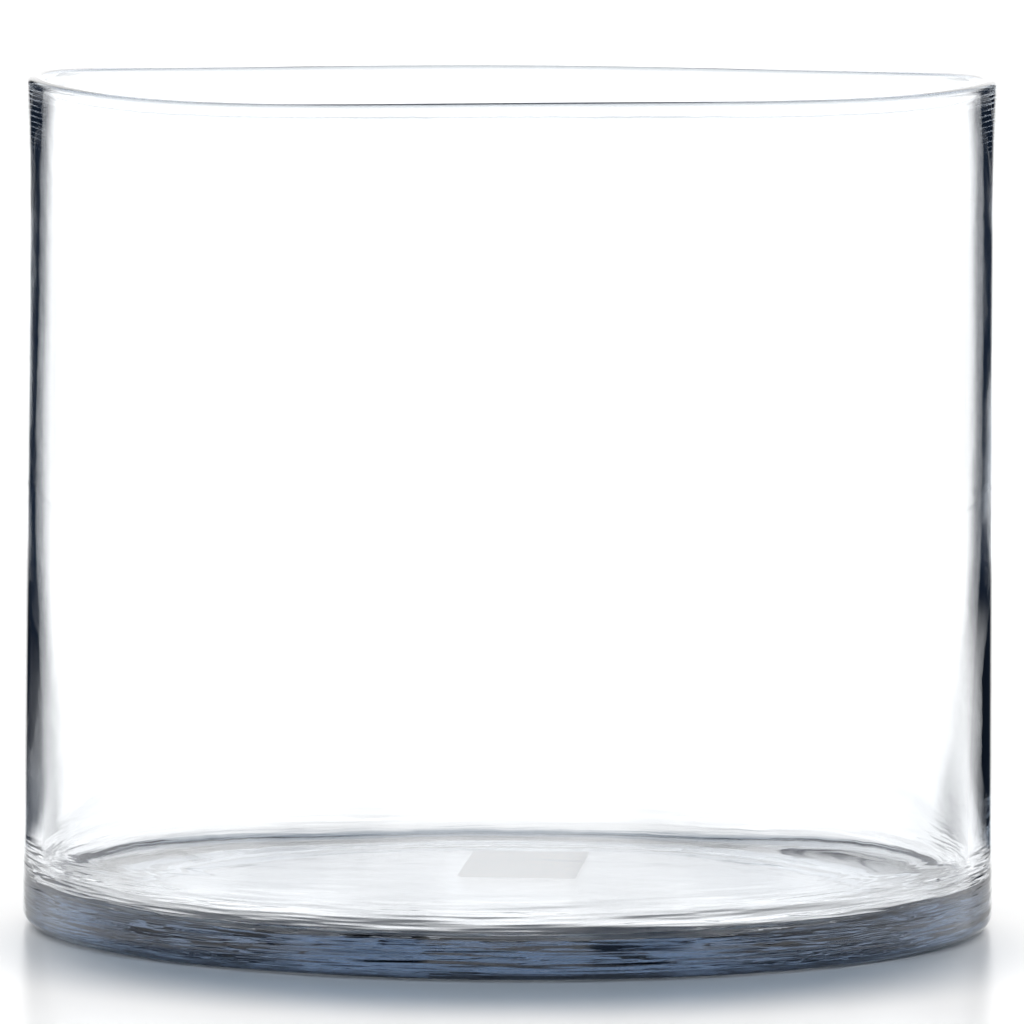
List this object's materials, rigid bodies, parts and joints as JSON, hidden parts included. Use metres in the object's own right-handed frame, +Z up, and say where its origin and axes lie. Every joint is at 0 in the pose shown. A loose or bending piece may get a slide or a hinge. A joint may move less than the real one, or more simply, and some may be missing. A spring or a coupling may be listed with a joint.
{
  "type": "glass cylinder vase",
  "caption": "Wide straight-sided clear glass cylinder vase with a thick base, an open top and a blank paper label under the foot.",
  "frame": {"origin": "middle of the foot, on the surface the vase stands on", "axes": "+Z up along the vase's axis of turning; +Y points away from the viewer, towards the end of the base where the label is; +X to the viewer's right"},
  "size_m": [0.2032, 0.2032, 0.1763],
  "materials": {
    "clear_glass": "clear, fire-polished soda-lime glass with a faint steel-blue tint in its thick parts",
    "label_paper": "matt white paper, blank"
  },
  "bodies": {
    "root": {"glass_vessel": "clear_glass", "base_label": "label_paper"}
  },
  "joints": []
}
